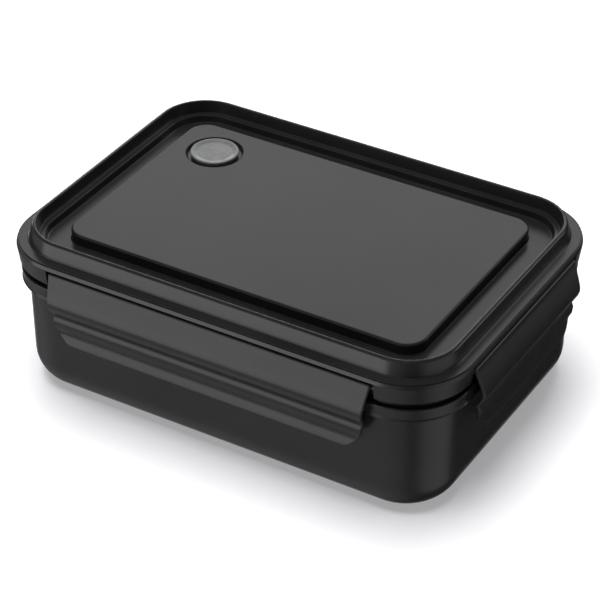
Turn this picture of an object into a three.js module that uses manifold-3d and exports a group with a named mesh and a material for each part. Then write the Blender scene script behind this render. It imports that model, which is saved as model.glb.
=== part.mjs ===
// Plastic lunch box: a tapered tub, a snap-on lid with a soft seal and a vent plug, and four
// long flap latches that hang on pins under the lid's rim and hook under the tub's collar.
// Units are millimetres, +Z is up, the front long side faces -Y and the tub stands on z = 0.
import * as THREE from "three";
import { mergeVertices } from "three/addons/utils/BufferGeometryUtils.js";
import Module from "manifold-3d";

const wasm = await Module();
wasm.setup();

// ---------------------------------------------------------------- driving dimensions
const LENGTH = 225; // lid ledge, side to side
const WIDTH = 160; // lid ledge, front to back
const CORNER_RADIUS = 30.7; // lid ledge, in plan
const PANEL_CORNER_RADIUS = 9.2; // raised panel, in plan
const LEDGE_Z = 73.3; // flat ledge round the lid
const RIDGE_Z = LEDGE_Z + 7.2; // top of the rounded ridge
const STEP_Z = LEDGE_Z + 1.2; // small step inside the ridge
const CHANNEL_Z = LEDGE_Z - 2.1; // floor of the channel round the panel
const PANEL_Z = LEDGE_Z + 3.5; // top of the raised panel
const SKIRT_Z = LEDGE_Z - 10; // lower edge of the lid
const SHELL = 2; // wall thickness of the lid
const GAP = 0.3; // running and resting clearance
const CORNER_STEPS = 10; // facets in each rounded corner

const RIM_Z = LEDGE_Z - 5.4; // top edge of the tub
const COLLAR_Z = LEDGE_Z - 12.9; // top of the tub's collar
const COLLAR_LOW_Z = LEDGE_Z - 19.3; // lower edge of the collar, where the latches hook
const BOTTOM_RADIUS = 15.4; // tub wall to tub bottom
const FLOOR = 2.2; // tub floor thickness
const TUB_INSET_TOP = 4.8; // tub wall, in from the lid's ledge
const TUB_INSET_LOW = 5.4;
const TUB_INNER_TOP = 7.2;
const TUB_INNER_LOW = 7.8;

const HINGE_INSET = 2.3; // latch axis, in from the lid's ledge
const HINGE_Z = LEDGE_Z - 5.4;
const PIN_RADIUS = 0.7;
const PIN_OVERHANG = 4.5; // pin length that sits in the lid at each end
const KNUCKLE_RADIUS = 1.75;
const LONG_LATCH = 160; // width of the front and back latches
const SHORT_LATCH = 95; // width of the side latches
const LATCH_LOW_Z = LEDGE_Z - 37.2;
const LATCH_SHEET = 1.9;
const LATCH_CORNER = 9.5; // lower corners of each flap
const LATCH_TAPER = 0.135; // each end, per millimetre of drop

const VENT = { x: -67, y: 35, recess: 14, recessFloor: 12.6, plug: 11.4, hole: 4, stem: 3.5 };
const VENT_FLOOR_Z = PANEL_Z - 1.9;
const VENT_TRAVEL = 3;

// ---------------------------------------------------------------- materials
const satin = (color, roughness = 0.38) =>
  new THREE.MeshStandardMaterial({ color, roughness, metalness: 0 });
const blackPlastic = satin(0x1b1b1c);
const latchPlastic = satin(0x1c1c1d, 0.36);
const sealSilicone = satin(0x3a3b3c, 0.62);
const plugSilicone = satin(0x8a8a8a, 0.5);
const steel = new THREE.MeshStandardMaterial({ color: 0xb8babc, roughness: 0.3, metalness: 1 });

// ---------------------------------------------------------------- shared shape helpers
// One ring of the box's plan outline, set in from the lid's ledge and lifted to a height.
function planRing(inset, z) {
  const corner = inset < 18 ? CORNER_RADIUS - inset : PANEL_CORNER_RADIUS + 24.2 - inset;
  const r = Math.max(corner, 1);
  const cx = LENGTH / 2 - inset - r;
  const cy = WIDTH / 2 - inset - r;
  const ring = [];
  [[cx, -cy, -90], [cx, cy, 0], [-cx, cy, 90], [-cx, -cy, 180]].forEach(([x, y, start]) => {
    for (let k = 0; k <= CORNER_STEPS; k++) {
      const a = THREE.MathUtils.degToRad(start + (90 * k) / CORNER_STEPS);
      ring.push(new THREE.Vector3(x + r * Math.cos(a), y + r * Math.sin(a), z));
    }
  });
  return ring;
}

// A body swept round the plan outline. The section lists [inset, z] points from the top centre,
// out and down, to the bottom centre; a closed section makes a ring with no caps.
function sweptBody(section, closed = false) {
  const rings = section.map(([inset, z]) => planRing(inset, z));
  const count = rings[0].length;
  const positions = rings.flat().flatMap((p) => [p.x, p.y, p.z]);
  const index = [];
  const last = closed ? rings.length : rings.length - 1;
  for (let i = 0; i < last; i++) {
    const upper = i * count;
    const lower = ((i + 1) % rings.length) * count;
    for (let k = 0; k < count; k++) {
      const next = (k + 1) % count;
      index.push(upper + k, lower + k, lower + next, upper + k, lower + next, upper + next);
    }
  }
  if (!closed) {
    const bottom = (rings.length - 1) * count;
    for (let k = 1; k < count - 1; k++) {
      index.push(0, k, k + 1, bottom, bottom + k + 1, bottom + k);
    }
  }
  const geometry = new THREE.BufferGeometry();
  geometry.setAttribute("position", new THREE.Float32BufferAttribute(positions, 3));
  geometry.setIndex(index);
  return geometry;
}

// Points of a quarter-type arc in a section, angles in degrees, 0 pointing inboard.
function arc(inset, z, radius, from, to, steps = 4) {
  return Array.from({ length: steps + 1 }, (_, k) => {
    const a = THREE.MathUtils.degToRad(from + ((to - from) * k) / steps);
    return [inset + radius * Math.cos(a), z + radius * Math.sin(a)];
  });
}

// Turn a closed three.js geometry into a solid, and a solid back into a geometry.
function toSolid(geometry) {
  const plain = geometry.clone();
  plain.deleteAttribute("normal");
  plain.deleteAttribute("uv");
  const merged = mergeVertices(plain, 1e-5);
  return new wasm.Manifold(new wasm.Mesh({
    numProp: 3,
    vertProperties: new Float32Array(merged.attributes.position.array),
    triVerts: new Uint32Array(merged.index.array),
  }));
}

function toGeometry(solid) {
  const mesh = solid.getMesh();
  const geometry = new THREE.BufferGeometry();
  geometry.setAttribute("position", new THREE.Float32BufferAttribute(mesh.vertProperties, 3));
  geometry.setIndex(Array.from(mesh.triVerts));
  return geometry;
}

function box(sx, sy, sz, x, y, z) {
  return new THREE.BoxGeometry(sx, sy, sz).translate(x, y, z);
}

// A bar of round section along X.
function barX(radius, length, sides = 16) {
  return new THREE.CylinderGeometry(radius, radius, length, sides).rotateZ(Math.PI / 2);
}

// A body turned about an upright axis through the vent.
function turned(profile, sides = 40) {
  const points = profile.map(([r, z]) => new THREE.Vector2(r, z));
  return new THREE.LatheGeometry(points, sides).rotateX(Math.PI / 2).translate(VENT.x, VENT.y, 0);
}

const object = new THREE.Group();
function addMesh(name, geometry, material, parent = object) {
  const mesh = new THREE.Mesh(geometry, material);
  mesh.name = name;
  parent.add(mesh);
  return mesh;
}

// The four sides that carry a latch: turn from the front, distance out to the ledge, width.
const SIDES = [
  { name: "front", turn: 0, reach: WIDTH / 2, width: LONG_LATCH },
  { name: "right", turn: 90, reach: LENGTH / 2, width: SHORT_LATCH },
  { name: "back", turn: 180, reach: WIDTH / 2, width: LONG_LATCH },
  { name: "left", turn: -90, reach: LENGTH / 2, width: SHORT_LATCH },
];

// ---------------------------------------------------------------- tub
// The wall leans in slightly towards a large bottom radius. The collar is a turned-down flange,
// open below, and the thin rim above it goes up inside the lid against the seal.
const INNER_RADIUS = BOTTOM_RADIUS - 2;
const tubSection = [
  [TUB_INNER_LOW + INNER_RADIUS, FLOOR],
  ...arc(TUB_INNER_LOW + INNER_RADIUS, FLOOR + INNER_RADIUS, INNER_RADIUS, 270, 180, 8).slice(1),
  [TUB_INNER_TOP, COLLAR_Z],
  [TUB_INNER_TOP, RIM_Z - 0.5],
  [TUB_INNER_TOP - 0.4, RIM_Z],
  [6.1, RIM_Z],
  [5.7, RIM_Z - 0.5],
  [5.6, COLLAR_Z + 1.6],
  [3.1, COLLAR_Z + 1.6],
  [2.6, COLLAR_Z + 1.2],
  [2.5, COLLAR_Z],
  [1.8, COLLAR_Z],
  [1.4, COLLAR_Z - 0.4],
  [1.8, COLLAR_LOW_Z + 0.3],
  [2.1, COLLAR_LOW_Z],
  [3.3, COLLAR_LOW_Z],
  [3.2, COLLAR_Z - 2.2],
  [TUB_INSET_TOP, COLLAR_Z - 2.2],
  [TUB_INSET_TOP + 0.1, COLLAR_LOW_Z - 2],
  ...arc(TUB_INSET_LOW + BOTTOM_RADIUS, BOTTOM_RADIUS, BOTTOM_RADIUS, 180, 270, 9),
];
addMesh("base_container", sweptBody(tubSection), blackPlastic);

// ---------------------------------------------------------------- lid
// Raised panel, channel, step, ridge, ledge and skirt on top; below, the seal groove between the
// skirt and an inner rib, and the hollow under the panel.
const GROOVE_ROOF_Z = LEDGE_Z - SHELL;
const lidSection = [
  [25, PANEL_Z],
  ...arc(24.7, PANEL_Z - 1.1, 1.1, 90, 180, 4),
  [23.5, CHANNEL_Z + 0.8],
  [22.8, CHANNEL_Z],
  [14.2, CHANNEL_Z],
  [13.4, CHANNEL_Z + 0.7],
  [12.9, STEP_Z - 0.3],
  [12.5, STEP_Z],
  [10.1, STEP_Z],
  [9.6, STEP_Z + 0.5],
  ...arc(8.5, RIDGE_Z - 0.8, 0.8, 0, 180, 6),
  [5.9, LEDGE_Z + 0.8],
  [5.2, LEDGE_Z],
  [0.5, LEDGE_Z],
  [0, LEDGE_Z - 0.5],
  [0, LEDGE_Z - 1.3],
  [0.6, LEDGE_Z - 1.5],
  [1.1, SKIRT_Z + 0.5],
  [1.6, SKIRT_Z],
  [4.9, SKIRT_Z],
  [5.4, SKIRT_Z + 0.6],
  [5.4, GROOVE_ROOF_Z],
  [8, GROOVE_ROOF_Z],
  [8, RIM_Z - 1.4],
  [9.2, RIM_Z - 1.4],
  [9.3, STEP_Z - SHELL],
  [11.3, STEP_Z - SHELL],
  [11.4, CHANNEL_Z - SHELL],
  [25.3, CHANNEL_Z - SHELL],
  [25.5, PANEL_Z - SHELL],
];
let lid = toSolid(sweptBody(lidSection));

// Latch pockets, open outwards and downwards, and the holes for the pins in their end walls.
const POCKET_DEPTH = 4.3;
const POCKET_ROOF_Z = LEDGE_Z - 1.7;
const POCKET_CLEARANCE = 0.6;
SIDES.forEach(({ turn, reach, width }) => {
  const low = SKIRT_Z - 1;
  const height = POCKET_ROOF_Z - low;
  const pocket = box(width + 2 * POCKET_CLEARANCE, POCKET_DEPTH + 2, height,
    0, -reach + POCKET_DEPTH - (POCKET_DEPTH + 2) / 2, low + height / 2);
  const bore = barX(PIN_RADIUS + GAP, width + 2 * (PIN_OVERHANG + GAP));
  bore.translate(0, -reach + HINGE_INSET, HINGE_Z);
  [pocket, bore].forEach((cutter) => {
    lid = lid.subtract(toSolid(cutter.rotateZ(THREE.MathUtils.degToRad(turn))));
  });
});

// Vent: a boss under the panel, a dished recess in its top and a hole for the plug's stem.
const BOSS_LOW_Z = VENT_FLOOR_Z - SHELL;
lid = lid.add(toSolid(turned([
  [0, BOSS_LOW_Z], [VENT.recess + 2, BOSS_LOW_Z], [VENT.recess + 2, PANEL_Z - 1], [0, PANEL_Z - 1],
])));
lid = lid.subtract(toSolid(turned([
  [0, BOSS_LOW_Z - 1], [VENT.hole, BOSS_LOW_Z - 1], [VENT.hole, VENT_FLOOR_Z],
  [VENT.recessFloor, VENT_FLOOR_Z], [VENT.recess, PANEL_Z], [VENT.recess, PANEL_Z + 1],
  [0, PANEL_Z + 1],
])));
addMesh("lid", toGeometry(lid), blackPlastic);

// ---------------------------------------------------------------- seal
addMesh("lid_gasket", sweptBody([
  [7.6, GROOVE_ROOF_Z - GAP],
  [5.8, GROOVE_ROOF_Z - GAP],
  [5.8, RIM_Z + GAP + 0.4],
  [6.2, RIM_Z + GAP],
  [7.2, RIM_Z + GAP],
  [7.6, RIM_Z + GAP + 0.4],
], true), sealSilicone);

// ---------------------------------------------------------------- vent plug
// A dished button on a stem. The bulb under the lid lets it lift by VENT_TRAVEL and stops there.
const PLUG_TOP_Z = PANEL_Z + 0.8;
const BULB_Z = BOSS_LOW_Z - VENT_TRAVEL - GAP;
addMesh("vent_plug", turned([
  [0, BULB_Z - 3], [3, BULB_Z - 3], [4.8, BULB_Z - 1.2], [4.8, BULB_Z], [VENT.stem, BULB_Z],
  [VENT.stem, VENT_FLOOR_Z + GAP], [VENT.plug - 0.3, VENT_FLOOR_Z + GAP],
  [VENT.plug, PLUG_TOP_Z - 0.6], [VENT.plug - 0.5, PLUG_TOP_Z], [VENT.plug - 1.6, PLUG_TOP_Z],
  [VENT.plug - 3.4, PLUG_TOP_Z - 0.5], [0, PLUG_TOP_Z - 0.8],
]), plugSilicone);

// ---------------------------------------------------------------- latches
// Each flap is drawn for the front side about its own hinge axis: [outward, up] from the ledge
// edge. It leans out over the collar, steps back in under it and ends in a finger lip.
const flapFace = [
  [0.3, -3.2], [0.65, -3.7], [0.75, -5.2], [2, -8.5], [3.4, -12.3], [4.2, -15], [4.45, -16.6],
  [4.3, -18.2], [3.5, -20.2], [2.3, -22.2], [1.3, -23.5], [1.15, -24.1], [1.6, -24.7],
  [1.85, -25.4], [1.75, -26.3], [1.2, -27.6], [0.75, -28.7], [0.75, -29.7], [1.1, -31.2],
  [1.75, -34], [2.2, -36.2], [2.1, -36.9], [1.6, -37.2],
];
const KNUCKLE_BACK_POINTS = 10;
const HOOK_TOP = -19.65; // just below the collar's lower edge
const HOOK_TIP = -0.9;

function flapSection() {
  const back = flapFace.slice(3).reverse().map(([o, z]) => [o - LATCH_SHEET, z]);
  const knuckle = Array.from({ length: KNUCKLE_BACK_POINTS + 1 }, (_, k) => {
    const a = THREE.MathUtils.degToRad(285 - (195 * k) / KNUCKLE_BACK_POINTS);
    return [-HINGE_INSET + KNUCKLE_RADIUS * Math.cos(a),
      HINGE_Z - LEDGE_Z + KNUCKLE_RADIUS * Math.sin(a)];
  });
  return [...flapFace, ...back, ...knuckle];
}

// A section in [outward, up] drawn out along X, facing the front, with its middle at x = 0.
function alongX(points, length) {
  const shape = new THREE.Shape(points.map(([o, z]) => new THREE.Vector2(o, z)));
  const geometry = new THREE.ExtrudeGeometry(shape, { depth: length, bevelEnabled: false });
  const outward = new THREE.Vector3(0, -1, 0);
  const up = new THREE.Vector3(0, 0, 1);
  const along = new THREE.Vector3().crossVectors(outward, up);
  geometry.applyMatrix4(new THREE.Matrix4().makeBasis(outward, up, along));
  return geometry.translate(length / 2, 0, 0);
}

// The flap's front view: ends that lean in and rounded lower corners.
function flapOutline(width) {
  const low = LATCH_LOW_Z - LEDGE_Z - 0.1;
  const half = width / 2;
  const cornerZ = low + LATCH_CORNER;
  const cornerX = half + LATCH_TAPER * cornerZ - LATCH_CORNER;
  const shape = new THREE.Shape();
  shape.moveTo(half, 0);
  shape.lineTo(-half, 0);
  shape.absarc(-cornerX, cornerZ, LATCH_CORNER, Math.PI, 1.5 * Math.PI);
  shape.absarc(cornerX, cornerZ, LATCH_CORNER, 1.5 * Math.PI, 2 * Math.PI);
  const depth = 20;
  const geometry = new THREE.ExtrudeGeometry(shape, { depth, bevelEnabled: false, curveSegments: 10 });
  return geometry.rotateX(Math.PI / 2).translate(0, depth / 2, 0);
}

function latchGeometry(width) {
  const hookCount = width > 120 ? 2 : 1;
  const hookLength = 50;
  let solid = toSolid(alongX(flapSection(), width)).intersect(toSolid(flapOutline(width)));
  for (let k = 0; k < hookCount; k++) {
    const hook = alongX([
      [2.9, HOOK_TOP], [HOOK_TIP, HOOK_TOP], [HOOK_TIP, HOOK_TOP - 0.7], [1.3, HOOK_TOP - 2.5],
    ], hookLength);
    hook.translate((k - (hookCount - 1) / 2) * (width * 0.45), 0, 0);
    solid = solid.add(toSolid(hook));
  }
  const bore = barX(PIN_RADIUS + GAP, width + 2);
  bore.translate(0, HINGE_INSET, HINGE_Z - LEDGE_Z);
  return toGeometry(solid.subtract(toSolid(bore)));
}

SIDES.forEach(({ name, turn, reach, width }) => {
  const side = new THREE.Group();
  side.rotation.z = THREE.MathUtils.degToRad(turn);
  object.add(side);
  const latch = addMesh(`latch_${name}`, latchGeometry(width), latchPlastic, side);
  latch.position.set(0, -reach, LEDGE_Z);
  const pin = addMesh(`hinge_pin_${name}`, barX(PIN_RADIUS, width + 2 * PIN_OVERHANG), steel, side);
  pin.position.set(0, -reach + HINGE_INSET, HINGE_Z);
});

export default object;
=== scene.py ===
import math

import bmesh
import bpy
from mathutils import Matrix, Vector


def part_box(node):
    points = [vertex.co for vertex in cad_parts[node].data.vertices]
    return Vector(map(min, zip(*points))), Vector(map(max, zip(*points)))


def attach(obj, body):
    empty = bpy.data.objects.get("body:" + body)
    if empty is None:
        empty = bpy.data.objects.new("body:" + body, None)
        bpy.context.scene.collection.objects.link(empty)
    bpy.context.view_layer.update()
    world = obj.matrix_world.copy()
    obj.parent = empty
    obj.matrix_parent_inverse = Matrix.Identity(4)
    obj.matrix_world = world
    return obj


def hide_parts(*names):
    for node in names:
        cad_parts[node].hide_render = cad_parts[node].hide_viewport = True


# A black plastic lunch box: a deep tub, a lid with a raised panel and a vent plug, a soft seal
# under the lid and a flap latch on each side. Sections follow the way it is put together.
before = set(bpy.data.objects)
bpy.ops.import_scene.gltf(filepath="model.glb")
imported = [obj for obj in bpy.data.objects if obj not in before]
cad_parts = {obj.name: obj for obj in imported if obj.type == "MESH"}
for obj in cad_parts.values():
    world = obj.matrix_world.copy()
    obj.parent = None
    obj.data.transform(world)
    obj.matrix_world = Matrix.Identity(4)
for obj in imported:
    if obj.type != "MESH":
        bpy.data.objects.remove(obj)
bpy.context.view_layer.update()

# ------------------------------------------------------------------ tub
# Injection-moulded polypropylene, black, with a satin tool finish. The wall runs down into a
# large bottom radius; a turned-down collar runs round it and a thin rim stands up above that.
MM = 0.001
RIDGE_RISE = 7.2
lid_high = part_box("lid")[1]
HALF_LENGTH = lid_high.x / MM
HALF_WIDTH = lid_high.y / MM
LEDGE = lid_high.z / MM - RIDGE_RISE
PLAN_CORNER = 30.7
PANEL_CORNER = 9.2
PANEL_INSET = 24.2
PANEL_ZONE = 18  # further in than this, the plan has the raised panel's tighter corners


def rounded(corners, closed=False, degrees=11):
    """A section's outline in mm from its corners (inset, height, fillet radius)."""
    points = []
    count = len(corners)
    for k, (x, z, radius) in enumerate(corners):
        here = Vector((x, z))
        if radius == 0 or (not closed and k in (0, count - 1)):
            points.append(here)
            continue
        back = Vector(corners[k - 1][:2]) - here
        ahead = Vector(corners[(k + 1) % count][:2]) - here
        half = back.angle(ahead) / 2
        share = [radius / (radius + corners[j % count][2]) for j in (k - 1, k + 1)]
        reach = min(radius / math.tan(half), 0.98 * back.length * share[0],
                    0.98 * ahead.length * share[1])
        start = here + back.normalized() * reach
        end = here + ahead.normalized() * reach
        to_centre = (back.normalized() + ahead.normalized()).normalized()
        centre = here + to_centre * (reach / math.cos(half))
        sweep = math.pi - 2 * half
        steps = max(2, math.ceil(math.degrees(sweep) / degrees))
        side = 1 if (start - centre).cross(end - centre) > 0 else -1
        for s in range(steps + 1):
            turn = side * sweep * s / steps
            points.append(centre + Matrix.Rotation(turn, 2) @ (start - centre))
    return points


def plan_ring(inset, z, facets=16):
    """The box's rounded plan outline, set in from the ledge's edge, as points in metres."""
    corner = PLAN_CORNER - inset if inset < PANEL_ZONE else PANEL_CORNER + PANEL_INSET - inset
    r = max(corner, 1.0)
    cx, cy = HALF_LENGTH - inset - r, HALF_WIDTH - inset - r
    ring = []
    for x, y, first in ((cx, -cy, -90), (cx, cy, 0), (-cx, cy, 90), (-cx, -cy, 180)):
        for k in range(facets + 1):
            a = math.radians(first + 90 * k / facets)
            ring.append(Vector((x + r * math.cos(a), y + r * math.sin(a), z)) * MM)
    return ring


def finish_mesh(name, bm):
    """Turns a bmesh into an object."""
    bmesh.ops.recalc_face_normals(bm, faces=bm.faces)
    mesh = bpy.data.meshes.new(name)
    bm.to_mesh(mesh)
    bm.free()
    piece = bpy.data.objects.new(name, mesh)
    bpy.context.scene.collection.objects.link(piece)
    return piece


def loft(name, rings, closed=False):
    """A skin over rings of points; an open stack of rings gets a flat cap at both ends."""
    bm = bmesh.new()
    rows = [[bm.verts.new(p) for p in ring] for ring in rings]
    pairs = list(zip(rows, rows[1:])) + ([(rows[-1], rows[0])] if closed else [])
    for upper, lower in pairs:
        for k in range(len(upper)):
            n = (k + 1) % len(upper)
            bm.faces.new((upper[k], lower[k], lower[n], upper[n]))
    if not closed:
        bm.faces.new(rows[0])
        bm.faces.new(rows[-1])
    return finish_mesh(name, bm)


def swept(name, section, closed=False):
    """A section carried round the plan outline."""
    return loft(name, [plan_ring(p.x, p.y) for p in section], closed)


class Shade:
    """One output socket of a node, with operators, so that node maths reads as maths."""

    def __init__(self, tree, socket=None):
        self.tree, self.socket = tree, socket

    def node(self, kind, settings=None, inputs=None, output=0):
        made = self.tree.nodes.new(kind)
        for key, value in (settings or {}).items():
            setattr(made, key, value)
        for key, value in (inputs or {}).items():
            if isinstance(value, Shade):
                self.tree.links.new(value.socket, made.inputs[key])
            else:
                made.inputs[key].default_value = value
        return Shade(self.tree, made.outputs[output] if made.outputs else None)

    def maths(self, operation, a, b):
        return self.node("ShaderNodeMath", {"operation": operation}, {0: a, 1: b})

    def __add__(self, other):
        return self.maths("ADD", self, other)

    def __sub__(self, other):
        return self.maths("SUBTRACT", self, other)

    def __rsub__(self, other):
        return self.maths("SUBTRACT", other, self)

    def __mul__(self, other):
        return self.maths("MULTIPLY", self, other)

    __radd__ = __add__
    __rmul__ = __mul__

    def band(self, low, high):
        """0 at low, 1 at high, smooth between."""
        return self.node("ShaderNodeMapRange", {"interpolation_type": "SMOOTHSTEP"},
                         {"Value": self, "From Min": low, "From Max": high})

    def noise(self, where, scale, detail=2.0, rough=0.5):
        return self.node("ShaderNodeTexNoise", None,
                         {"Vector": where, "Scale": scale, "Detail": detail, "Roughness": rough})

    def mix(self, factor, a, b):
        """Colour a where the factor is 0, colour b where it is 1."""
        return self.node("ShaderNodeMix", {"data_type": "RGBA"}, {0: factor, 6: a, 7: b}, 2)


def new_material(name):
    """An empty material, a way into its nodes, and the place on the piece in metres."""
    material = bpy.data.materials.new(name)
    material.use_nodes = True
    tree = material.node_tree
    tree.nodes.clear()
    shade = Shade(tree)
    where = shade.node("ShaderNodeTexCoord", output="Object")
    return material, shade, where


def close_material(material, shade, constants, inputs):
    """Principled shader with constant sockets set directly and varying ones linked."""
    surface = shade.node("ShaderNodeBsdfPrincipled", None, {**constants, **inputs})
    shade.node("ShaderNodeOutputMaterial", None, {"Surface": surface})
    return material


def grey(value):
    """A neutral colour, a touch cool."""
    return (value, value, value * 1.02, 1.0)


def moulded_plastic(name, tone, roughness, highlight_bands):
    """Satin black plastic: a faint cloudiness, a fine spark-eroded grain and slight handling.

    Each pair in the last argument is a height in mm painted lighter as a highlight, in patches, and
    the height where that highlight ends.
    Noise scales are patches to the metre: 22 is clouds of 45 mm, 1900 a grain of half a mm."""
    material, shade, where = new_material(name)
    cloud = shade.noise(where, 22.0, 3.0)
    cloudy_tone = shade.mix(cloud.band(0.3, 0.7), grey(tone * 0.88), grey(tone * 1.12))
    height = shade.node("ShaderNodeSeparateXYZ", None, {"Vector": where}, "Z")
    # Painted highlight: the bands at the given heights are drawn lighter, broken into patches by
    # noise.
    painted_highlight = sum(height.band(end * MM, brightest * MM) for brightest, end in highlight_bands)
    painted_highlight = painted_highlight * shade.noise(where, 210.0, 4.0, 0.6).band(0.4, 0.75)
    colour = shade.mix(painted_highlight, cloudy_tone, grey(tone * 1.5))
    fine = shade.noise(where, 1900.0, 2.0, 0.6)
    handling = shade.noise(where, 60.0, 4.0, 0.6).band(0.52, 0.75)
    gloss = roughness + (fine - 0.5) * 0.06 + handling * 0.012 + painted_highlight * 0.03
    relief = fine * 0.5 + shade.noise(where, 95.0, 1.0) * 0.5
    normal = shade.node("ShaderNodeBump", None,
                        {"Strength": 0.4, "Distance": 0.000012, "Height": relief})
    return close_material(material, shade, {"IOR": 1.49},
                          {"Base Color": colour, "Roughness": gloss, "Normal": normal})


def dress(piece, material):
    """Gives a piece its material and shades its rounded edges smoothly between flat faces."""
    piece.data.materials.clear()
    piece.data.materials.append(material)
    piece.data.shade_smooth()
    piece.data.set_sharp_from_angle(angle=math.radians(38))
    flats = piece.modifiers.new("flat_faces", "WEIGHTED_NORMAL")
    flats.keep_sharp = True


BOTTOM_RADIUS = 15.4
# From the floor inside, up over the rim, down the collar and the wall to the recess underneath.
tub_outline = rounded([
    (30, 2.2, 0), (7.8, 2.2, 13.4), (7.2, LEDGE - 5.4, 0.5), (5.7, LEDGE - 5.4, 0.5),
    (5.6, LEDGE - 12.1, 0.3), (4.2, LEDGE - 12.2, 0.3), (4.1, LEDGE - 12.9, 0.2),
    (1.4, LEDGE - 12.9, 0.8), (1.95, LEDGE - 18.3, 1.0), (1.4, LEDGE - 19.3, 0.35),
    (3.3, LEDGE - 19.3, 0.3), (3.2, LEDGE - 15.1, 0.4), (4.8, LEDGE - 15.1, 0.4),
    (4.85, LEDGE - 21, 3.0), (5.4, 0, BOTTOM_RADIUS), (26, 0, 0.3), (26.6, 0.6, 0.3),
    (30, 0.6, 0),
])
tub = swept("tub_moulding", tub_outline)
# Painted highlights: a lighter band round the tub's foot and along the top of the lid's ridge.
foot_highlight = (0.2, 1.6)
ridge_highlight = (LEDGE + RIDGE_RISE, LEDGE + RIDGE_RISE - 0.6)
black_plastic = moulded_plastic("satin_black_plastic", 0.015, 0.25, (foot_highlight, ridge_highlight))
dress(tub, black_plastic)
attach(tub, "tub")
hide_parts("base_container")

# ------------------------------------------------------------------ lid
# The same plastic. From the middle out: raised panel, channel, a small step, a rounded ridge,
# the flat ledge and the skirt. Pockets in the skirt take the latches, with a hole past each end
# for the pin, and the vent plug sits in a round recess.
PANEL = LEDGE + 3.5
CHANNEL = LEDGE - 2.1
STEP = LEDGE + 1.2
RIDGE = LEDGE + RIDGE_RISE - 0.01  # a hair under the frame's own ridge
SKIRT = LEDGE - 10
WALL = 2
# Over the top from the panel to the skirt, then back underneath round the seal's groove.
lid_outline = rounded([
    (27, PANEL, 0), (23.5, PANEL, 1.1), (23.7, CHANNEL, 0.8), (13.5, CHANNEL, 0.8),
    (12.8, STEP, 0.35), (10.1, STEP, 0.5), (9.1, RIDGE, 0.45), (7.5, RIDGE, 1.4),
    (5.6, LEDGE, 0.8), (1.15, LEDGE, 0.12), (1.1, LEDGE - 0.5, 0.1), (0.72, LEDGE - 0.5, 0.1),
    (0.62, LEDGE - 0.08, 0.15), (0, LEDGE - 1.9, 0.9), (1.1, SKIRT, 0.7), (5.4, SKIRT, 0.6),
    (5.4, LEDGE - WALL, 0.3), (8, LEDGE - WALL, 0.3), (8, LEDGE - 6.8, 0.4), (9.2, LEDGE - 6.8, 0.4),
    (9.3, STEP - WALL, 0.4), (11.3, STEP - WALL, 0.5), (11.4, CHANNEL - WALL, 0.4),
    (25.3, CHANNEL - WALL, 0.5), (25.5, PANEL - WALL, 0.5), (28, PANEL - WALL, 0),
])
lid = swept("lid_moulding", lid_outline)


def cut(piece, cutter, operation="DIFFERENCE"):
    """Cuts one piece with another, or joins them, and uses the other up."""
    step = piece.modifiers.new("cut", "BOOLEAN")
    step.operation, step.solver, step.object = operation, "EXACT", cutter
    evaluated = piece.evaluated_get(bpy.context.evaluated_depsgraph_get())
    mesh = bpy.data.meshes.new_from_object(evaluated)
    piece.modifiers.clear()
    piece.data = mesh
    bpy.data.objects.remove(cutter)


def block(name, low, high, bevel):
    """A box between two corners in mm, with its edges rounded."""
    bm = bmesh.new()
    bmesh.ops.create_cube(bm, size=1.0)
    low, high = Vector(low) * MM, Vector(high) * MM
    for v in bm.verts:
        v.co = Vector([l + (h - l) * (c + 0.5) for l, h, c in zip(low, high, v.co)])
    bmesh.ops.bevel(bm, geom=bm.edges, offset=bevel * MM, segments=3, affect="EDGES",
                    profile=0.5)
    return finish_mesh(name, bm)


def turned(name, profile, centre, facets=72):
    """A body turned about an upright axis; the profile is (radius, height) in mm."""
    bm = bmesh.new()
    rows = []
    for r, z in profile:
        if r < 1e-6:
            rows.append([bm.verts.new((centre[0] * MM, centre[1] * MM, z * MM))])
            continue
        angles = [2 * math.pi * k / facets for k in range(facets)]
        rows.append([bm.verts.new(((centre[0] + r * math.cos(a)) * MM,
                                   (centre[1] + r * math.sin(a)) * MM, z * MM)) for a in angles])
    for upper, lower in zip(rows, rows[1:]):
        for k in range(facets):
            n = (k + 1) % facets
            corners = [upper[k % len(upper)], lower[k % len(lower)],
                       lower[n % len(lower)], upper[n % len(upper)]]
            bm.faces.new(list(dict.fromkeys(corners)))
    return finish_mesh(name, bm)


def rod(radius, length, inset, height):
    """A round bar along a side: a latch's bead, or the cutter for the hole a pin goes through."""
    rings = []
    for x in (-length / 2, length / 2):
        turns = [2 * math.pi * k / 24 for k in range(24)]
        rings.append([Vector((x, inset + radius * math.cos(a), height + radius * math.sin(a))) * MM
                      for a in turns])
    return loft("rod", rings)


HINGE_INSET = 2.3
HINGE_DROP = -5.4
PIN_BORE = 1.0
PIN_OVERHANG = 4.5
PIN_END_GAP = 0.3
POCKET_DEPTH = 4.6
POCKET_ROOF = LEDGE - 1.95  # clears the flap's top as it swings up
POCKET_END_GAP = 1.1
# name, turn from the front, distance from the middle to the ledge's edge, latch width
SIDES = (("front", 0, HALF_WIDTH, 161.6), ("right", 90, HALF_LENGTH, 96),
         ("back", 180, HALF_WIDTH, 161.6), ("left", -90, HALF_LENGTH, 96))
for side, turn, reach, width in SIDES:
    pocket_end = width / 2 + POCKET_END_GAP
    pocket = block("pocket", (-pocket_end, -reach - 3, SKIRT - 2),
                   (pocket_end, -reach + POCKET_DEPTH, POCKET_ROOF), 0.3)
    bore = rod(PIN_BORE, width + 2 * (PIN_OVERHANG + PIN_END_GAP), HINGE_INSET - reach,
               LEDGE + HINGE_DROP)
    for cutter in (pocket, bore):
        cutter.data.transform(Matrix.Rotation(math.radians(turn), 4, "Z"))
        cut(lid, cutter)

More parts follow.
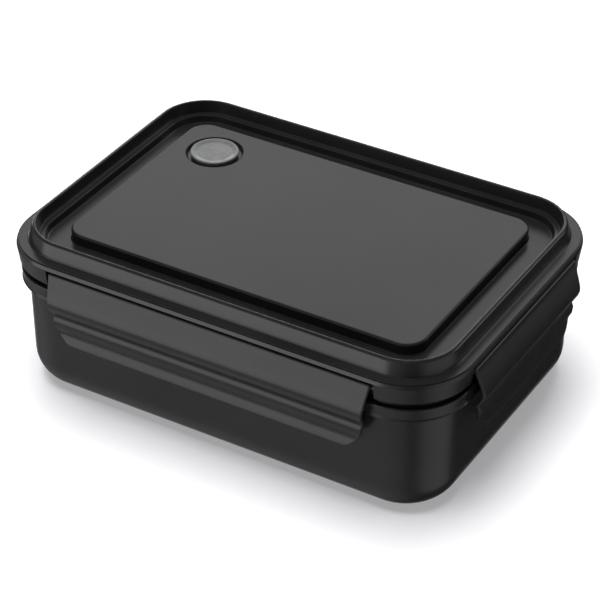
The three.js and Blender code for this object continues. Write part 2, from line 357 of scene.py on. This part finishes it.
VENT = (-67, 35)
SEAT = PANEL - 1.9
STEM_HOLE = 4
BOSS = 16
boss = turned("boss", [(0, SEAT - WALL), (BOSS - 0.4, SEAT - WALL), (BOSS, SEAT - WALL + 0.4),
                       (BOSS, PANEL - 1), (0, PANEL - 1)], VENT)
cut(lid, boss, "UNION")
recess = rounded([(STEM_HOLE, SEAT, 0), (12.6, SEAT, 0.6), (13.6, PANEL, 0.4),
                  (14.4, PANEL + 0.08, 0)])
seat_cut = turned("seat_cut", [(0, SEAT - 4), (STEM_HOLE, SEAT - 4), (STEM_HOLE, SEAT)]
                  + [(p.x, p.y) for p in recess[1:]] + [(14.4, PANEL + 2), (0, PANEL + 2)], VENT)
cut(lid, seat_cut)
dress(lid, black_plastic)
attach(lid, "lid")
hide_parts("lid")

# ------------------------------------------------------------------ seal
# A dark silicone ring pressed into the groove under the lid. It is drawn at its free height, just
# above the tub's rim, and its lower face has a shallow groove between two soft lips.
seal_outline = rounded([
    (7.6, LEDGE - 2.3, 0.3), (5.8, LEDGE - 2.3, 0.3), (5.8, LEDGE - 5.05, 0.35),
    (6.35, LEDGE - 5.05, 0.25), (6.5, LEDGE - 4.6, 0.2), (6.9, LEDGE - 4.6, 0.2),
    (7.05, LEDGE - 5.05, 0.25), (7.6, LEDGE - 5.05, 0.35),
], closed=True)
seal = swept("seal_ring", seal_outline, closed=True)


def silicone(name, tone, roughness):
    """Soft silicone: even colour, a powdery bloom and a faint moulding ripple."""
    material, shade, where = new_material(name)
    bloom = shade.noise(where, 140.0, 4.0, 0.6)
    colour = shade.mix(bloom.band(0.35, 0.7), grey(tone * 0.9), grey(tone * 1.1))
    fine = shade.noise(where, 1400.0, 2.0)
    gloss = roughness + (bloom - 0.5) * 0.12
    normal = shade.node("ShaderNodeBump", None,
                        {"Strength": 0.4, "Distance": 0.00003, "Height": fine + bloom * 2.0})
    return close_material(material, shade, {"IOR": 1.41, "Subsurface Weight": 0.05},
                          {"Base Color": colour, "Roughness": gloss, "Normal": normal})


dress(seal, silicone("seal_silicone", 0.035, 0.55))
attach(seal, "lid")
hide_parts("lid_gasket")

# ------------------------------------------------------------------ vent plug
# A grey silicone button with a dished face and a raised rim. Its stem goes through the lid and
# ends in a bulb that keeps the plug from coming right out.
PLUG_TOP = PANEL + 0.8
BULB = SEAT - WALL - 3.3
plug_profile = rounded([
    (0, BULB - 3, 0), (3.2, BULB - 3, 1.2), (4.8, BULB - 1, 0.8), (4.8, BULB, 0.4), (3.5, BULB, 0.4),
    (3.5, SEAT + 0.3, 0.4), (10.9, SEAT + 0.3, 0.4), (11.4, PLUG_TOP, 0.45), (10.2, PLUG_TOP, 0.6),
    (8.4, PLUG_TOP - 0.6, 2.2), (0, PLUG_TOP - 0.6, 0),
])
plug = turned("vent_button", [(p.x, p.y) for p in plug_profile], VENT)
dress(plug, silicone("plug_silicone", 0.15, 0.27))
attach(plug, "vent_plug")
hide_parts("vent_plug")

# ------------------------------------------------------------------ latches
# One flap moulding for each side. A knuckle inside its top turns on a pin in the lid; the flap
# leans out over the collar, steps back in, has a raised bead and ends in a finger lip. Hooks
# inside it go under the tub's collar.
SHEET = 1.9
SHEET_THINNING = 0.6
THINS_FROM = -5.2
THINS_OVER = 2
FLAP_EDGE = 0.6
KNUCKLE = 1.75
LIP = -37.2
LIP_CORNER = 12.5
END_LEAN = 0.11
HOOK_LENGTH = 50
HOOK_PLACE = 0.225  # of the width, to each side of the middle of a long flap
LONG_FLAP = 120
# (how far the outer face stands out from the ledge's edge, height from the ledge)
FLAP_FACE = ((0.0, -2.9), (0.35, -3.7), (0.75, -5.2), (2.0, -8.5), (3.4, -12.3), (4.2, -15.0),
             (4.45, -16.7), (4.2, -18.4), (3.3, -20.4), (2.1, -22.2), (1.45, -23.3),
             (1.5, -24.1), (2.0, -25.3), (2.25, -26.1), (1.95, -26.8), (2.15, -27.7),
             (2.1, -28.5), (1.5, -29.8), (1.0, -30.8), (0.95, -31.7), (1.3, -33.0),
             (1.8, -34.8), (2.2, -36.3), (2.25, -37.2))


def flap_out(drop):
    """How far out the outer face stands at a height from the ledge, on a smooth curve."""
    k = 1
    while k < len(FLAP_FACE) - 2 and FLAP_FACE[k][1] > drop:
        k += 1
    ends = [FLAP_FACE[min(max(j, 0), len(FLAP_FACE) - 1)] for j in (k - 2, k - 1, k, k + 1)]
    (x0, z0), (x1, z1), (x2, z2), (x3, z3) = ends
    span = z2 - z1
    t = (drop - z1) / span
    lead = (x2 - x0) / (z2 - z0) * span
    trail = (x3 - x1) / (z3 - z1) * span
    return ((2 * t ** 3 - 3 * t ** 2 + 1) * x1 + (t ** 3 - 2 * t ** 2 + t) * lead
            + (3 * t ** 2 - 2 * t ** 3) * x2 + (t ** 3 - t ** 2) * trail)


def half_width_at(drop, width):
    """Half the flap's width at a height from the ledge: leaning ends, then round corners."""
    corner_drop = LIP + LIP_CORNER
    if drop > corner_drop:
        return width / 2 + END_LEAN * drop
    across = math.sqrt(max(LIP_CORNER ** 2 - (corner_drop - drop) ** 2, 0.0))
    return width / 2 + END_LEAN * corner_drop - LIP_CORNER + across


def flap_row(drop, soften, width):
    """The flap cut through level at one height: a long bar with rounded corners."""
    half = half_width_at(drop, width) - soften
    sheet = SHEET - SHEET_THINNING * max(0.0, min(1.0, (drop - THINS_FROM) / THINS_OVER))
    front, back = -flap_out(drop) + soften, -flap_out(drop) + sheet - soften
    r = min(FLAP_EDGE, (back - front) / 2 * 0.98)
    row = []
    for x, y, first in ((half - r, front + r, -90), (half - r, back - r, 0),
                        (-half + r, back - r, 90), (-half + r, front + r, 180)):
        for k in range(5):
            a = math.radians(first + 22.5 * k)
            row.append(Vector((x + r * math.cos(a), y + r * math.sin(a), drop)) * MM)
    return row


def flap(name, width):
    """The sheet of a front-facing latch, measured from the middle of the ledge's edge."""
    top = FLAP_FACE[0][1]
    rows = [(top, 0.55), (top - 0.06, 0.33), (top - 0.2, 0.14), (top - 0.4, 0.0)]
    corner_drop = LIP + LIP_CORNER
    count = 46
    for k in range(1, count + 1):
        rows.append((top - 0.4 + (corner_drop - top + 0.4) * k / count, 0.0))
    for degrees in range(6, 79, 6):
        rows.append((corner_drop - LIP_CORNER * math.sin(math.radians(degrees)), 0.0))
    rows += [(LIP + 0.1, 0.12), (LIP + 0.03, 0.3), (LIP, 0.55)]
    return loft(name, [flap_row(drop, soften, width) for drop, soften in rows])


def hook(width):
    """The catch inside a flap, a flat-topped wedge that goes under the tub's collar."""
    bm = bmesh.new()
    wedge = rounded([(2.9, -19.65, 0), (-0.9, -19.65, 0.25), (-0.9, -20.6, 0.4), (1.5, -22.2, 0)])
    ends = [[bm.verts.new((side * width / 2 * MM, -p.x * MM, p.y * MM)) for p in wedge]
            for side in (-1, 1)]
    for k in range(len(wedge)):
        n = (k + 1) % len(wedge)
        bm.faces.new((ends[0][k], ends[0][n], ends[1][n], ends[1][k]))
    bm.faces.new(ends[0])
    bm.faces.new(ends[1])
    return finish_mesh("hook", bm)


# Painted highlight: a lighter band along the latches' lower lip.
lip_highlight = (LEDGE + LIP, LEDGE + LIP + 1.4)
latch_plastic = moulded_plastic("satin_latch_plastic", 0.015, 0.31, (lip_highlight,))
for side, turn, reach, width in SIDES:
    latch = flap(f"flap_{side}", width)
    bead = 2 * half_width_at(HINGE_DROP, width) - 0.6
    cut(latch, rod(KNUCKLE, bead, HINGE_INSET, HINGE_DROP), "UNION")
    cut(latch, rod(PIN_BORE, width + 2, HINGE_INSET, HINGE_DROP))
    places = (-HOOK_PLACE * width, HOOK_PLACE * width) if width > LONG_FLAP else (0,)
    for x in places:
        catch = hook(HOOK_LENGTH)
        catch.data.transform(Matrix.Translation((x * MM, 0, 0)))
        cut(latch, catch, "UNION")
    latch.data.transform(Matrix.Translation((0, -reach * MM, LEDGE * MM)))
    latch.data.transform(Matrix.Rotation(math.radians(turn), 4, "Z"))
    dress(latch, latch_plastic)
    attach(latch, f"latch_{side}")
    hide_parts(f"latch_{side}")

# ------------------------------------------------------------------ hinge pins
# Drawn steel wire, one through the knuckle of each latch and held in the lid at both ends.
# They stay as the frame made them and only get their finish.
pin_steel, shade, where = new_material("drawn_wire_steel")
drawn = shade.noise(where, 900.0, 3.0)
close_material(pin_steel, shade, {"Metallic": 1.0}, {
    "Base Color": shade.mix(drawn, grey(0.42), grey(0.58)),
    "Roughness": 0.24 + drawn * 0.16,
})
for side, *_ in SIDES:
    dress(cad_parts[f"hinge_pin_{side}"], pin_steel)

# ------------------------------------------------------------------ studio
# A plain white floor that glows a little, soft boxes behind, to the front left and overhead, and
# a dim room that is seen white. The floor and the overhead box are kept out of the plastic's
# reflections, so that the walls stay dark.
floor_bm = bmesh.new()
bmesh.ops.create_circle(floor_bm, cap_ends=True, segments=96, radius=1.7)
floor = finish_mesh("studio_floor", floor_bm)
floor_paint, shade, where = new_material("matt_white_paint")
mottle = shade.noise(where, 3.0)
close_material(floor_paint, shade, {"Specular IOR Level": 0.0, "Emission Strength": 0.3,
                                    "Emission Color": grey(1.0)}, {
    "Base Color": shade.mix(mottle, grey(0.86), grey(0.88)),
    "Roughness": 0.9 + mottle * 0.05,
})
dress(floor, floor_paint)
floor.visible_glossy = False

AIM = Vector((0, 0, LEDGE * MM))


def soft_box(name, direction, distance, width, height, radiance):
    """An oblong area light that faces the box, as bright as its radiance says."""
    data = bpy.data.lights.new(name, "AREA")
    data.shape, data.size, data.size_y = "RECTANGLE", width, height
    data.energy = radiance * math.pi * width * height
    light = bpy.data.objects.new(name, data)
    bpy.context.scene.collection.objects.link(light)
    direction = Vector(direction).normalized()
    light.location = AIM + direction * distance
    light.rotation_mode = "QUATERNION"
    light.rotation_quaternion = direction.to_track_quat("Z", "Y")
    light.visible_camera = False
    return light


soft_box("back_box", (-0.26, 0.78, 0.5), 2.0, 2.2, 1.0, 1.12)
soft_box("back_low_box", (-0.66, 0.74, 0.1), 2.2, 2.4, 0.5, 3.6)
soft_box("right_back_box", (0.72, 0.69, 0.15), 2.2, 0.9, 1.0, 1.5)
soft_box("front_left_box", (-0.53, -0.85, -0.07), 2.0, 1.8, 0.9, 1.85)
top_box = soft_box("top_box", (-0.1, -0.02, 1.0), 1.8, 1.6, 1.2, 6.8)
top_box.visible_glossy = False

world = bpy.data.worlds.new("studio_room")
bpy.context.scene.world = world
world.use_nodes = True
world.node_tree.nodes.clear()
room = Shade(world.node_tree)
direction = room.node("ShaderNodeTexCoord", output="Generated")


def glow(toward, low, high, strength):
    """A soft patch of light on the room's wall around one direction."""
    near = room.node("ShaderNodeVectorMath", {"operation": "DOT_PRODUCT"},
                     {0: direction, 1: Vector(toward).normalized()}, "Value")
    return near.band(low, high) * strength


level = (0.03 + glow((-0.5, -0.7, -0.5), 0.3, 0.9, 0.36)
         + glow((0.93, -0.05, -0.35), 0.72, 0.95, 0.55) + glow((-0.45, 0.7, -0.6), 0.85, 0.99, 0.5)
         + glow((-0.25, -0.85, 0.4), 0.7, 0.97, 0.16))
backdrop = room.node("ShaderNodeBackground", None, {"Color": grey(1.0), "Strength": level})
seen = room.node("ShaderNodeBackground", None, {"Color": grey(1.0), "Strength": 1.0})
direct = room.node("ShaderNodeLightPath", output="Is Camera Ray")
pale = room.node("ShaderNodeMixShader", None, {0: direct, 1: backdrop, 2: seen})
room.node("ShaderNodeOutputWorld", None, {"Surface": pale})

AZIMUTH, ELEVATION = math.radians(30.65), math.radians(34.55)
DISTANCE, RAISE = 1.0647, 0.0297
behind = Vector((math.sin(AZIMUTH) * math.cos(ELEVATION),
                 -math.cos(AZIMUTH) * math.cos(ELEVATION), math.sin(ELEVATION)))
right = Vector((math.cos(AZIMUTH), math.sin(AZIMUTH), 0))
up = behind.cross(right)
camera_data = bpy.data.cameras.new("camera")
camera_data.sensor_width = 36.0
camera_data.lens = 143.5
camera = bpy.data.objects.new("camera", camera_data)
bpy.context.scene.collection.objects.link(camera)
camera.matrix_world = Matrix.Translation(AIM + behind * DISTANCE - up * RAISE) @ Matrix(
    (right, up, behind)).transposed().to_4x4()
bpy.context.scene.camera = camera
bpy.context.scene.view_settings.view_transform = "Standard"
